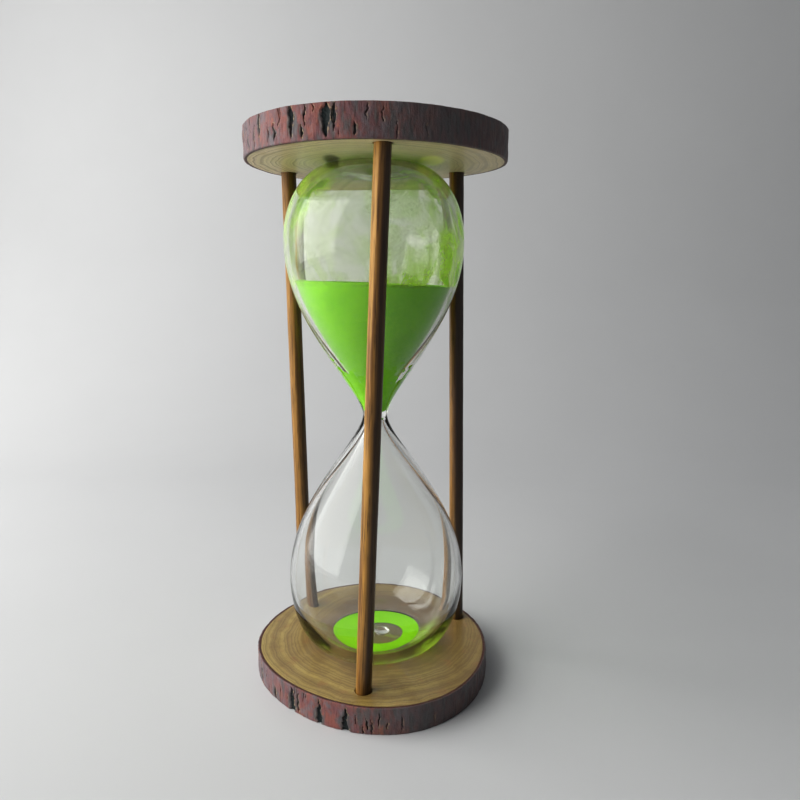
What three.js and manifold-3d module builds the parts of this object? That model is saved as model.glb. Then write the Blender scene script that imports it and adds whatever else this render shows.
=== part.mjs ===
// A rustic hourglass: a blown double bulb held between two slices of a branch by three dowels.
// Millimetres, +Z up. While it is put together, the glass stands on the Z axis and the base on z = 0.
// The finished object is then centred on its own outline.
import * as THREE from "three";
import { mergeVertices } from "three/addons/utils/BufferGeometryUtils.js";
import Module from "manifold-3d";

const wasm = await Module();
wasm.setup();

const degrees = THREE.MathUtils.degToRad;

// ---- Driving dimensions ----

const GAP = 0.3; // clearance between pieces that touch or are glued on the real object
const BASE_THICKNESS = 10;
const TOP_THICKNESS = 11;
const CLEAR_HEIGHT = 188; // between the two slices' inner faces, which the glass fills
const BARK_THICKNESS = 1.3;
const BARK_EDGE = 0.5; // how far the bark's worn edges are rounded back
const BARK_SHOULDER = 0.2; // how much less the bark stands out near those edges than half way up
const OUTLINE_STEPS = 90;

// A slice's outline is its mean radius with a few waves round it: count per turn, size, and peak angle.
// The bark's own finer unevenness starts at an angle of its own on each slice.
const BASE_OUTLINE = {
  radius: 48,
  barkTurn: 0,
  waves: [
    { count: 1, size: 1.2, peak: degrees(180) },
    { count: 2, size: 1.9, peak: degrees(-68) },
    { count: 3, size: 0.7, peak: degrees(-57) },
    { count: 4, size: 0.5, peak: degrees(11) },
  ],
};
const TOP_OUTLINE = {
  radius: 46.8,
  barkTurn: degrees(40),
  waves: [
    { count: 2, size: 1.5, peak: degrees(-12) },
    { count: 3, size: 1.3, peak: 0 },
    { count: 4, size: 0.5, peak: degrees(16) },
  ],
};
const BARK_WAVES = [
  { count: 11, size: 0.22, peak: degrees(8) },
  { count: 19, size: 0.18, peak: degrees(3) },
  { count: 31, size: 0.14, peak: degrees(5) },
];

const DOWEL_DIAMETER = 6;
const DOWEL_SIDES = 24;
const SOCKET_DEPTH = 7; // how deep each dowel end is let into its slice

// Each dowel's centre at the base's upper face and at the top slice's lower face, drilled by hand
// and so not quite in line: distance from the glass's axis, and angle.
const DOWELS = [
  { name: "front_dowel", foot: [38.6, degrees(-95)], head: [38.5, degrees(-83.5)] },
  { name: "rear_left_dowel", foot: [40.6, degrees(143)], head: [40.2, degrees(149.5)] },
  { name: "rear_right_dowel", foot: [38.6, degrees(26.5)], head: [38.2, degrees(32)] },
];

// The glass. Heights in a bulb are measured from its own end towards the waist.
const GLASS_HEIGHT = CLEAR_HEIGHT - 2 * GAP;
const HALF_GLASS = GLASS_HEIGHT / 2;
const WALL = 2;
const WAIST_RADIUS = 4.75;
const ORIFICE_RADIUS = 1;
const ORIFICE_LENGTH = 2.4;
const FUNNEL_RADIUS = 3; // inner radius where the funnel drops into the orifice
const FUNNEL_LENGTH = 2.6; // from the waist's middle to the funnel's foot
const SHOULDER_REACH = 31; // handle lengths of the curve from the widest part to the waist
const WAIST_REACH = 10;
const LOWER_BULB = { restRadius: 20, widestRadius: 34.8, widestHeight: 27.8, punt: 1.5 };
const UPPER_BULB = { restRadius: 14, widestRadius: 33.8, widestHeight: 28, punt: 3 };
const LOWER_INSIDE = { restRadius: 15, widestRadius: LOWER_BULB.widestRadius - WALL, floor: 1 };
const UPPER_INSIDE = { restRadius: 13.3, widestRadius: UPPER_BULB.widestRadius - WALL, floor: 2 };
const FILL_HOLE_RADIUS = 2.4;
const HOLE_DRIFT = new THREE.Vector2(2.2, -3.2); // the filling hole's middle from the glass's axis
const DRIFT_FULL_RADIUS = 7; // the floor drifts with the hole inside this radius
const DRIFT_END_RADIUS = 18;
const DRIFT_HEIGHT = 10;
const TURN_STEPS = 32;
const SHOULDER_STEPS = 6;
const BODY_STEPS = 11;
const PUNT_STEPS = 5;

// The glass knob that closes the filling hole.
const SEAL_STEM_RADIUS = FILL_HOLE_RADIUS - GAP;
const SEAL_HEAD_RADIUS = 3.1;
const SEAL_HEAD_HEIGHT = 1.6;

// The sand.
const UPPER_SAND_DEPTH = 50; // from the waist's middle up to the level surface
const LOWER_SAND_RISE = 0.8; // over the bottom of the trough round the punt

// ---- Materials ----

function material(colour, roughness, more = {}) {
  return new THREE.MeshStandardMaterial({ color: colour, roughness, metalness: 0, ...more });
}

const baseWood = material(0x9c8148, 0.35);
const topWood = material(0xb9a878, 0.35);
const bark = material(0x6b3b33, 0.85);
const dowelWood = material(0x8a5f2c, 0.5);
const glass = material(0xeef5ee, 0.05, { transparent: true, opacity: 0.3 });
const sealGlass = material(0xdfe6da, 0.2);
const sand = material(0x7fd02a, 0.95);

// ---- Helpers ----

function solidOf(geometry) {
  const bare = geometry.clone().deleteAttribute("normal").deleteAttribute("uv");
  const merged = mergeVertices(bare, 1e-4);
  const triVerts = new Uint32Array(merged.index.array);
  const vertProperties = merged.attributes.position.array;
  return new wasm.Manifold(new wasm.Mesh({ numProp: 3, vertProperties, triVerts }));
}

function geometryOf(solid) {
  const mesh = solid.getMesh();
  const geometry = new THREE.BufferGeometry();
  geometry.setAttribute("position", new THREE.BufferAttribute(mesh.vertProperties, 3));
  geometry.setIndex(new THREE.BufferAttribute(mesh.triVerts, 1));
  const flat = geometry.toNonIndexed();
  flat.computeVertexNormals();
  return flat;
}

function polar(radius, angle, z = 0) {
  return new THREE.Vector3(radius * Math.cos(angle), radius * Math.sin(angle), z);
}

function sumOfWaves(waves, angle) {
  return waves.reduce((sum, { count, size, peak }) => sum + size * Math.cos(count * (angle - peak)), 0);
}

function outlineRadius(outline, angle) {
  return outline.radius + sumOfWaves(outline.waves, angle);
}

// A ring closed both ways: section(angle) gives the corners of its cross-section at that angle,
// in order anticlockwise as seen with the axis on the left and +Z up.
function ringGeometry(section, steps) {
  const corners = section(0).length;
  const positions = [];
  const faces = [];
  for (let i = 0; i < steps; i++) {
    const angle = (i / steps) * 2 * Math.PI;
    for (const [radius, z] of section(angle)) positions.push(...polar(radius, angle, z).toArray());
    const here = i * corners;
    const next = ((i + 1) % steps) * corners;
    for (let j = 0; j < corners; j++) {
      const k = (j + 1) % corners;
      faces.push(here + j, next + j, next + k, here + j, next + k, here + k);
    }
  }
  const geometry = new THREE.BufferGeometry();
  geometry.setAttribute("position", new THREE.Float32BufferAttribute(positions, 3));
  geometry.setIndex(faces);
  const flat = geometry.toNonIndexed();
  flat.computeVertexNormals();
  return flat;
}

// A solid of revolution about Z, from a profile of Vector2(radius, z).
function turned(profile) {
  return new THREE.LatheGeometry(profile, TURN_STEPS).rotateX(Math.PI / 2);
}

function named(name, geometry, look) {
  const mesh = new THREE.Mesh(geometry, look);
  mesh.name = name;
  return mesh;
}

// ---- Slices: a disc of wood and the ring of bark round it ----

function barkGeometry(outline, thickness) {
  return ringGeometry((angle) => {
    const outer = outlineRadius(outline, angle);
    const bump = sumOfWaves(BARK_WAVES, angle + outline.barkTurn);
    const worn = outer - BARK_SHOULDER + bump / 2;
    const inner = outer - BARK_THICKNESS;
    return [
      [inner, 0],
      [outer - BARK_EDGE, 0],
      [worn, BARK_EDGE],
      [outer + bump, thickness / 2],
      [worn, thickness - BARK_EDGE],
      [outer - BARK_EDGE, thickness],
      [inner, thickness],
    ];
  }, OUTLINE_STEPS);
}

function discGeometry(outline, thickness) {
  const points = [];
  for (let i = 0; i < OUTLINE_STEPS; i++) {
    const angle = (i / OUTLINE_STEPS) * 2 * Math.PI;
    const { x, y } = polar(outlineRadius(outline, angle) - BARK_THICKNESS - GAP, angle);
    points.push(new THREE.Vector2(x, y));
  }
  return new THREE.ExtrudeGeometry(new THREE.Shape(points), { depth: thickness, bevelEnabled: false });
}

// ---- Dowels ----

const BASE_FACE = BASE_THICKNESS;
const TOP_FACE = BASE_FACE + CLEAR_HEIGHT;

// A rod along a dowel's line, reaching so far past the two faces.
function rodGeometry({ foot, head }, radius, reach) {
  const start = polar(...foot, BASE_FACE);
  const end = polar(...head, TOP_FACE);
  const along = new THREE.Vector3().subVectors(end, start);
  const length = along.length() + 2 * reach;
  const middle = new THREE.Vector3().addVectors(start, end).multiplyScalar(0.5);
  const turn = new THREE.Quaternion().setFromUnitVectors(new THREE.Vector3(0, 1, 0), along.normalize());
  return new THREE.CylinderGeometry(radius, radius, length, DOWEL_SIDES)
    .applyQuaternion(turn)
    .translate(middle.x, middle.y, middle.z);
}

const socketCutters = DOWELS.map((dowel) =>
  solidOf(rodGeometry(dowel, DOWEL_DIAMETER / 2 + GAP, SOCKET_DEPTH)),
);

// A slice's disc at its place, with the three sockets cut in it.
function sliceGeometry(outline, thickness, z) {
  let disc = solidOf(discGeometry(outline, thickness).translate(0, 0, z));
  for (const cutter of socketCutters) disc = disc.subtract(cutter);
  return geometryOf(disc);
}

// ---- Glass ----

// Points along one bulb's wall from its resting ring to the waist, as Vector2(radius, height).
// The shoulder is a quarter ellipse, and the body is one curve that runs upright at both ends.
function bulbWall({ restRadius, widestRadius, widestHeight }, bottom, foot, footHeight) {
  const points = [];
  for (let i = 0; i < SHOULDER_STEPS; i++) {
    const turn = (i / SHOULDER_STEPS) * (Math.PI / 2);
    const radius = restRadius + (widestRadius - restRadius) * Math.sin(turn);
    points.push(new THREE.Vector2(radius, widestHeight - (widestHeight - bottom) * Math.cos(turn)));
  }
  const body = new THREE.CubicBezierCurve(
    new THREE.Vector2(widestRadius, widestHeight),
    new THREE.Vector2(widestRadius, widestHeight + SHOULDER_REACH),
    new THREE.Vector2(foot, footHeight - WAIST_REACH),
    new THREE.Vector2(foot, footHeight),
  );
  points.push(...body.getPoints(BODY_STEPS));
  return points;
}

// How far a bulb's kicked-up end stands over its resting ring: half a cosine wave.
function puntRise({ restRadius, punt }, radius) {
  return (punt / 2) * (1 + Math.cos((Math.PI * radius) / restRadius));
}

// Points across a bulb's kicked-up end, from a start radius out to its resting ring.
function puntCurve({ restRadius, punt }, bottom, startRadius) {
  const points = [];
  for (let i = 0; i < PUNT_STEPS; i++) {
    const radius = startRadius + ((restRadius - startRadius) * i) / PUNT_STEPS;
    points.push(new THREE.Vector2(radius, bottom + puntRise({ restRadius, punt }, radius)));
  }
  return points;
}

function outerCurve(bulb, startRadius) {
  return [...puntCurve(bulb, 0, startRadius), ...bulbWall(bulb, 0, WAIST_RADIUS, HALF_GLASS)];
}

// The inside of a bulb, from its end to the foot of its funnel, shrunk by a clearance.
function innerCurve(outside, space, startRadius, clearance = 0) {
  const bulb = { ...outside, ...space };
  const inside = { ...bulb, widestRadius: bulb.widestRadius - clearance };
  const bottom = bulb.floor + clearance;
  const wall = bulbWall(inside, bottom, FUNNEL_RADIUS - clearance, HALF_GLASS - FUNNEL_LENGTH);
  return [...puntCurve(bulb, bottom, startRadius), ...wall];
}

// A bulb's curve placed on the glass, standing or turned over.
const placeLower = (points) => points.map(({ x, y }) => new THREE.Vector2(x, y));
const placeUpper = (points) => points.map(({ x, y }) => new THREE.Vector2(x, GLASS_HEIGHT - y)).reverse();

// The lower bulb's floor and what lies on it, shifted with the filling hole near the axis.
function drifted(geometry) {
  const place = geometry.attributes.position;
  for (let i = 0; i < place.count; i++) {
    if (place.getZ(i) > DRIFT_HEIGHT) continue;
    const radius = Math.hypot(place.getX(i), place.getY(i));
    const share = 1 - THREE.MathUtils.smoothstep(radius, DRIFT_FULL_RADIUS, DRIFT_END_RADIUS);
    place.setXY(i, place.getX(i) + share * HOLE_DRIFT.x, place.getY(i) + share * HOLE_DRIFT.y);
  }
  geometry.computeVertexNormals();
  return geometry;
}

function glassGeometry() {
  const outside = [
    ...placeLower(outerCurve(LOWER_BULB, FILL_HOLE_RADIUS)),
    ...placeUpper(outerCurve(UPPER_BULB, 0)).slice(1),
  ];
  const orifice = [
    new THREE.Vector2(ORIFICE_RADIUS, HALF_GLASS - ORIFICE_LENGTH / 2),
    new THREE.Vector2(ORIFICE_RADIUS, HALF_GLASS + ORIFICE_LENGTH / 2),
  ];
  const inside = [
    ...placeLower(innerCurve(LOWER_BULB, LOWER_INSIDE, FILL_HOLE_RADIUS)),
    ...orifice,
    ...placeUpper(innerCurve(UPPER_BULB, UPPER_INSIDE, 0)),
  ];
  const section = [...outside, ...inside.reverse()];
  section.push(section[0].clone());
  return drifted(turned(section));
}

// The knob: a stem through the filling hole and a domed head inside the bulb.
function sealGeometry() {
  const foot = puntRise(LOWER_BULB, FILL_HOLE_RADIUS);
  const seat = LOWER_INSIDE.floor + foot + GAP;
  const dome = new THREE.EllipseCurve(0, seat, SEAL_HEAD_RADIUS, SEAL_HEAD_HEIGHT, 0, Math.PI / 2);
  const profile = [
    new THREE.Vector2(0, foot),
    new THREE.Vector2(SEAL_STEM_RADIUS, foot),
    new THREE.Vector2(SEAL_STEM_RADIUS, seat),
    ...dome.getPoints(6).slice(0, -1),
    new THREE.Vector2(0, seat + SEAL_HEAD_HEIGHT),
  ];
  return drifted(turned(profile));
}

// ---- Sand ----

// The sand that fills the upper bulb from its funnel up to a level surface.
function upperSandGeometry() {
  const level = UPPER_SAND_DEPTH;
  const fromWaist = ({ x, y }) => new THREE.Vector2(x, y - HALF_GLASS);
  const wall = placeUpper(innerCurve(UPPER_BULB, UPPER_INSIDE, 0, GAP)).map(fromWaist);
  const below = wall.filter(({ y }) => y < level);
  const last = below[below.length - 1];
  const next = wall[below.length];
  const rim = last.clone().lerp(next, (level - last.y) / (next.y - last.y));
  const profile = [new THREE.Vector2(0, below[0].y), ...below, rim, new THREE.Vector2(0, level)];
  return turned(profile).translate(0, 0, HALF_GLASS);
}

// The sand that lies in the trough round the punt: the trough's own shape below, level above.
function lowerSandGeometry() {
  const level = LOWER_INSIDE.floor + LOWER_SAND_RISE;
  const trough = innerCurve(LOWER_BULB, LOWER_INSIDE, SEAL_HEAD_RADIUS, GAP);
  const cross = (from, to) => from.clone().lerp(to, (level - from.y) / (to.y - from.y));
  const first = trough.findIndex(({ y }) => y < level);
  const past = trough.findIndex(({ y }, i) => i > first && y > level);
  const section = [
    cross(trough[first - 1], trough[first]),
    ...trough.slice(first, past),
    cross(trough[past - 1], trough[past]),
  ];
  section.push(section[0].clone());
  return drifted(turned(section));
}

// ---- Assembly ----

const base = new THREE.Group();
base.add(
  named("base_slice", sliceGeometry(BASE_OUTLINE, BASE_THICKNESS, 0), baseWood),
  named("base_bark", barkGeometry(BASE_OUTLINE, BASE_THICKNESS), bark),
);

const top = new THREE.Group();
const topBark = named("top_bark", barkGeometry(TOP_OUTLINE, TOP_THICKNESS), bark);
topBark.position.z = TOP_FACE;
top.add(named("top_slice", sliceGeometry(TOP_OUTLINE, TOP_THICKNESS, TOP_FACE), topWood), topBark);

const posts = new THREE.Group();
for (const dowel of DOWELS) {
  posts.add(named(dowel.name, rodGeometry(dowel, DOWEL_DIAMETER / 2, SOCKET_DEPTH - GAP), dowelWood));
}

const bulbs = new THREE.Group();
bulbs.position.z = BASE_FACE + GAP;
bulbs.add(
  named("glass_body", glassGeometry(), glass),
  named("fill_seal", sealGeometry(), sealGlass),
  named("upper_sand", upperSandGeometry(), sand),
  named("lower_sand", lowerSandGeometry(), sand),
);

const standing = new THREE.Group();
standing.add(base, top, posts, bulbs);

// The origin is under the middle of the whole outline, on the surface that the base stands on.
const middle = new THREE.Box3().setFromObject(standing).getCenter(new THREE.Vector3());
standing.position.set(-middle.x, -middle.y, 0);

const hourglass = new THREE.Group();
hourglass.add(standing);

export default hourglass;
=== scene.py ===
"""The looks of a rustic hourglass: bark-edged slices, stained dowels, blown glass and green sand."""

import logging
import math
from dataclasses import dataclass, field
from enum import Enum
from typing import Optional, Sequence, Union

import bpy
import numpy as np
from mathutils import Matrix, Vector


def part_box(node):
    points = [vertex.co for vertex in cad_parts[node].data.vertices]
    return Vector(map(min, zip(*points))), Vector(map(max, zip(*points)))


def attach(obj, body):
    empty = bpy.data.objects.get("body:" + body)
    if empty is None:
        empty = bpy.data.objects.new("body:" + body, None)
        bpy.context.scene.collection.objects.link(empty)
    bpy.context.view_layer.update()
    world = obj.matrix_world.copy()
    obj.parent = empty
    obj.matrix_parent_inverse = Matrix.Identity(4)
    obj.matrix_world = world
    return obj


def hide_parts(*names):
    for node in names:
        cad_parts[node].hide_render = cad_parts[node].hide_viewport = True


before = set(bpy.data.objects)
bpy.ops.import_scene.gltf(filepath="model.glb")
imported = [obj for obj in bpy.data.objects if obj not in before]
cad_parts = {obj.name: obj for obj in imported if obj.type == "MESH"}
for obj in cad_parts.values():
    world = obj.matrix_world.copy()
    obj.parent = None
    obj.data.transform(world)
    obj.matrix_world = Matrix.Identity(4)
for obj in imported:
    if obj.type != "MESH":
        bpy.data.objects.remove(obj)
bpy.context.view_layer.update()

MM = 0.001
TURN = 2 * math.pi
CLEARANCE = 0.3 * MM  # what the solids keep between pieces that touch
ROOT_BODY = "root"

Colour = tuple[float, float, float]
Socket = bpy.types.NodeSocket
Value = Union[float, Sequence[float], Socket]

log = logging.getLogger("hourglass")


# ---- Numbers on grids ----


def ease(x: np.ndarray) -> np.ndarray:
    """Smooth step: three times the square less twice the cube, with x held between 0 and 1."""
    x = np.clip(x, 0.0, 1.0)
    return x * x * (3.0 - 2.0 * x)


def bell(x: np.ndarray, width: float) -> np.ndarray:
    """A bell curve: the exponential of minus the square of x over its width."""
    return np.exp(-((x / width) ** 2))


def drawn(rng: np.random.Generator, count: int, *ranges: tuple[float, float]) -> list[tuple[float, ...]]:
    """Random rows with one number out of each range, drawn range by range.

    Args:
        rng: the seeded source of the numbers.
        count: how many rows.
        *ranges: the limits of each number.

    Returns:
        The rows.
    """
    return list(zip(*(rng.uniform(low, high, count) for low, high in ranges)))


def full_turn(count: int) -> np.ndarray:
    """That many angles, evenly round a full turn, as one row."""
    return np.linspace(0, TURN, count, endpoint=False)[None, :]


def round_axis(axis: np.ndarray, radius: np.ndarray, angle: np.ndarray, height: np.ndarray) -> np.ndarray:
    """Points round an upright axis, as a grid of places.

    Args:
        axis: where the axis stands on the ground.
        radius: the points' distances from it.
        angle: their angles round it.
        height: their heights.

    Returns:
        A grid of points.
    """
    x, y = axis[0] + radius * np.cos(angle), axis[1] + radius * np.sin(angle)
    return np.stack([x, y, np.broadcast_to(height, x.shape)], axis=-1)


@dataclass(frozen=True)
class Relief:
    """Smooth random heights, from -1 to 1, that meet themselves after a full turn.

    A table of random heights is blended between its neighbours with a smooth step.
    """

    seed: int
    cells_around: int
    cells_along: int

    def at(self, turn: np.ndarray, along: np.ndarray) -> np.ndarray:
        """Heights at places given as a share of a turn and a share of the length.

        Args:
            turn: share of a full turn, any real number.
            along: share of the length, held between 0 and 1.

        Returns:
            One height for each place.
        """
        table = np.random.default_rng(self.seed).uniform(-1, 1, (self.cells_around, self.cells_along + 2))
        x = np.mod(turn, 1.0) * self.cells_around
        y = np.clip(along, 0.0, 1.0) * self.cells_along
        i, j = np.floor(x).astype(int), np.floor(y).astype(int)
        across, up = ease(x - i), ease(y - j)
        i, following = i % self.cells_around, (i + 1) % self.cells_around
        low = table[i, j] * (1 - across) + table[following, j] * across
        high = table[i, j + 1] * (1 - across) + table[following, j + 1] * across
        return low * (1 - up) + high * up


@dataclass(frozen=True)
class Wave:
    """One layer of relief: its height, what is added to the seed, and its numbers of cells."""

    height: float
    seed_step: int
    around: int
    along: int

    def at(self, seed: int, turn: np.ndarray, along: np.ndarray) -> np.ndarray:
        """This layer's heights, for a piece's own seed."""
        return self.height * Relief(seed + self.seed_step, self.around, self.along).at(turn, along)


@dataclass
class Surface:
    """A skin over a grid of points, whose rows and columns may close on themselves.

    Poles close the first and last row with a fan of triangles.
    """

    points: np.ndarray
    closed_rows: bool = False
    closed_columns: bool = True
    first_pole: Optional[np.ndarray] = None
    last_pole: Optional[np.ndarray] = None
    values: dict[str, np.ndarray] = field(default_factory=dict)
    vectors: dict[str, np.ndarray] = field(default_factory=dict)

    def faces(self) -> tuple[np.ndarray, np.ndarray]:
        """The four-sided faces between neighbouring points, and the triangles at the poles.

        Returns:
            Corner numbers of the quads, and of the triangles.
        """
        rows, columns = self.points.shape[:2]
        index = np.arange(rows * columns).reshape(rows, columns)
        if self.closed_rows:
            index = np.vstack([index, index[:1]])
        if self.closed_columns:
            index = np.hstack([index, index[:, :1]])
        quads = np.stack([index[:-1, :-1], index[1:, :-1], index[1:, 1:], index[:-1, 1:]], -1).reshape(-1, 4)
        fans = []
        centre = rows * columns
        for pole, ring in ((self.first_pole, index[0]), (self.last_pole, index[-1][::-1])):
            if pole is not None:
                fans.append(np.stack([np.full(len(ring) - 1, centre), ring[:-1], ring[1:]], -1))
                centre += 1
        triangles = np.vstack(fans) if fans else np.zeros((0, 3), int)
        return quads, triangles

    def build(self, name: str, sharp_degrees: float = 40.0) -> bpy.types.Object:
        """Makes the Blender object, with its faces turned outwards.

        The enclosed volume is the sum over all triangles of the product of their corners, and
        its sign says whether the faces have to be turned over.

        Args:
            name: the piece's name.
            sharp_degrees: edges that bend more than this stay crisp.

        Returns:
            The new object, in the scene.
        """
        quads, triangles = self.faces()
        poles = [p for p in (self.first_pole, self.last_pole) if p is not None]
        corners = np.vstack([self.points.reshape(-1, 3)] + [np.asarray(p, float)[None] for p in poles])
        halves = np.vstack([quads[:, [0, 1, 2]], quads[:, [0, 2, 3]], triangles])
        middle = corners.mean(axis=0)
        a, b, c = (corners[halves[:, k]] - middle for k in range(3))
        if np.einsum("ij,ij->", a, np.cross(b, c)) < 0:
            quads, triangles = quads[:, ::-1], triangles[:, ::-1]
        mesh = bpy.data.meshes.new(name)
        mesh.from_pydata(corners.tolist(), [], quads.tolist() + triangles.tolist())
        mesh.polygons.foreach_set("use_smooth", np.ones(len(mesh.polygons), bool))
        mesh.set_sharp_from_angle(angle=math.radians(sharp_degrees))
        for key, grid in self.values.items():
            flat = np.concatenate([grid.ravel(), np.full(len(poles), grid.ravel()[-1])])
            layer = mesh.attributes.new(key, "FLOAT", "POINT")
            layer.data.foreach_set("value", flat.astype(np.float32))
        for key, grid in self.vectors.items():
            flat = np.vstack([grid.reshape(-1, 3)] + [grid.reshape(-1, 3)[-1:]] * len(poles))
            layer = mesh.attributes.new(key, "FLOAT_VECTOR", "POINT")
            layer.data.foreach_set("vector", flat.astype(np.float32).ravel())
        mesh.update()
        piece = bpy.data.objects.new(name, mesh)
        bpy.context.scene.collection.objects.link(piece)
        return piece


def node_points(node: str) -> np.ndarray:
    """The corners of a CAD node's mesh, in metres, as an array of rows."""
    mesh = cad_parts[node].data
    flat = np.zeros(len(mesh.vertices) * 3, np.float32)
    mesh.vertices.foreach_get("co", flat)
    return flat.reshape(-1, 3).astype(float)


def middle_of(node: str) -> np.ndarray:
    """Where the middle of a CAD node's box stands on the ground."""
    low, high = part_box(node)
    return np.array([(low[0] + high[0]) / 2, (low[1] + high[1]) / 2])


def place_piece(piece: bpy.types.Object, material: bpy.types.Material, slot: str, *replaced: str) -> None:
    """Dresses a piece, fixes it to the frame and hides the CAD nodes that it stands for.

    Args:
        piece: the new object.
        material: its finish.
        slot: the record's material slot; not used.
        *replaced: names of the CAD nodes that it hides.
    """
    piece.data.materials.clear()
    piece.data.materials.append(material)
    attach(piece, ROOT_BODY)
    if replaced:
        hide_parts(*replaced)
    log.info("%s: %d corners, %d faces", piece.name, len(piece.data.vertices), len(piece.data.polygons))


# ---- Node trees ----


class Shader:
    """A short way to write the node tree of a material or of the sky."""

    def __init__(self, owner: Union[bpy.types.Material, bpy.types.World]) -> None:
        """Starts with an empty tree."""
        owner.use_nodes = True
        self.owner = owner
        self.tree = owner.node_tree
        self.tree.nodes.clear()

    @classmethod
    def material(cls, name: str) -> "Shader":
        """Starts a new material with this name."""
        return cls(bpy.data.materials.new(name))

    def node(
        self, kind: str, values: Optional[dict[Union[str, int], Value]] = None, **settings: object
    ) -> bpy.types.Node:
        """Adds a node.

        Args:
            kind: the node's type.
            values: what goes into its inputs, by name or number: a plain value or another node's output.
            **settings: the node's own options.

        Returns:
            The node.
        """
        made = self.tree.nodes.new(kind)
        for key, value in settings.items():
            setattr(made, key, value)
        for key, value in (values or {}).items():
            if isinstance(value, bpy.types.NodeSocket):
                self.tree.links.new(value, made.inputs[key])
            else:
                made.inputs[key].default_value = value
        return made

    def place(self) -> Socket:
        """The point's place on the object, in metres."""
        return self.node("ShaderNodeTexCoord").outputs["Object"]

    def attribute(self, name: str, vector: bool = False) -> Socket:
        """A value or vector that the mesh carries at its corners."""
        made = self.node("ShaderNodeAttribute", attribute_name=name)
        return made.outputs["Vector" if vector else "Fac"]

    def part(self, vector: Socket, number: int) -> Socket:
        """One part of a vector: 0, 1 or 2 for across, forward and up."""
        return self.node("ShaderNodeSeparateXYZ", {0: vector}).outputs[number]

    def mapped(
        self, vector: Socket, move: Sequence[float] = (0, 0, 0), scale: Sequence[float] = (1, 1, 1)
    ) -> Socket:
        """The vector scaled, then moved."""
        return self.node("ShaderNodeMapping", {"Vector": vector, "Location": move, "Scale": scale}).outputs[0]

    def noise(self, vector: Socket, scale: float, detail: float = 3.0, rough: float = 0.5) -> Socket:
        """Cloudy noise around one half; scale is in features per metre."""
        made = self.node(
            "ShaderNodeTexNoise",
            {"Vector": vector, "Scale": scale, "Detail": detail, "Roughness": rough},
        )
        return made.outputs["Fac"]

    def line_noise(self, at: Socket, scale: float, detail: float = 2.0) -> Socket:
        """Noise around one half along a line; scale is in features for each unit of the value."""
        values: dict[Union[str, int], Value] = {"W": at, "Scale": scale, "Detail": detail}
        return self.node("ShaderNodeTexNoise", values, noise_dimensions="1D").outputs["Fac"]

    def math(self, operation: str, a: Value, b: Value = 0.0, clamp: bool = False) -> Socket:
        """One step of arithmetic on two numbers."""
        return self.node("ShaderNodeMath", {0: a, 1: b}, operation=operation, use_clamp=clamp).outputs[0]

    def swayed(self, value: Value, noise: Socket, size: float) -> Socket:
        """The value pushed up or down by noise that swings about one half."""
        return self.math("ADD", value, self.math("MULTIPLY", self.math("SUBTRACT", noise, 0.5), size))

    def weighed(self, a: Socket, share_a: float, b: Socket, share_b: float) -> Socket:
        """A share of one value added to a share of another."""
        return self.math("ADD", self.math("MULTIPLY", a, share_a), self.math("MULTIPLY", b, share_b))

    def vector(self, operation: str, a: Value, b: Value = (0, 0, 0)) -> Socket:
        """One step of arithmetic on two vectors."""
        made = self.node("ShaderNodeVectorMath", {0: a, 1: b}, operation=operation)
        return made.outputs["Value" if operation in ("LENGTH", "DISTANCE", "DOT_PRODUCT") else "Vector"]

    def spread(
        self, value: Socket, low: float, high: float, to_low: float = 0.0, to_high: float = 1.0
    ) -> Socket:
        """The value between low and high, stretched smoothly over a new range and held there."""
        values = {"Value": value, "From Min": low, "From Max": high, "To Min": to_low, "To Max": to_high}
        return self.node("ShaderNodeMapRange", values, interpolation_type="SMOOTHSTEP").outputs[0]

    def blend(self, share: Value, a: Value, b: Value) -> Socket:
        """Colour a with a share of colour b laid over it."""
        a = (*a, 1.0) if isinstance(a, tuple) else a
        b = (*b, 1.0) if isinstance(b, tuple) else b
        return self.node("ShaderNodeMix", {0: share, 6: a, 7: b}, data_type="RGBA").outputs[2]

    def laid(
        self, base: Value, colour: Value, by: Socket, low: float, high: float, most: float = 1.0
    ) -> Socket:
        """A colour laid over the base as a value runs from low to high, up to the largest share."""
        return self.blend(self.spread(by, low, high, 0.0, most), base, colour)

    def bump(self, height: Socket, depth: float, strength: float) -> Socket:
        """A surface normal tilted by a height, whose full range is depth metres."""
        values: dict[Union[str, int], Value] = {"Height": height, "Distance": depth, "Strength": strength}
        return self.node("ShaderNodeBump", values).outputs[0]

    def principled(self, **values: Value) -> Socket:
        """The main shader; underscores in the names stand for spaces."""
        inputs: dict[Union[str, int], Value] = {key.replace("_", " "): value for key, value in values.items()}
        return self.node("ShaderNodeBsdfPrincipled", inputs).outputs[0]

    def mixed(self, share: Value, a: Socket, b: Socket) -> Socket:
        """Shader a with a share of shader b."""
        return self.node("ShaderNodeMixShader", {0: share, 1: a, 2: b}).outputs[0]

    def finish(self, surface: Socket) -> bpy.types.Material:
        """Joins the surface to the output and returns the material."""
        self.node("ShaderNodeOutputMaterial", {"Surface": surface})
        return self.owner


# ---- Finishes ----


@dataclass(frozen=True)
class KnotAndLightMark:
    """A knot, stain or painted pool of light on a sawn face: its middle, half width, half length and
    strength.
    """

    x: float
    y: float
    half_width: float
    half_length: float
    colour: Colour
    strength: float
    fade: float = 0.2


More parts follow.
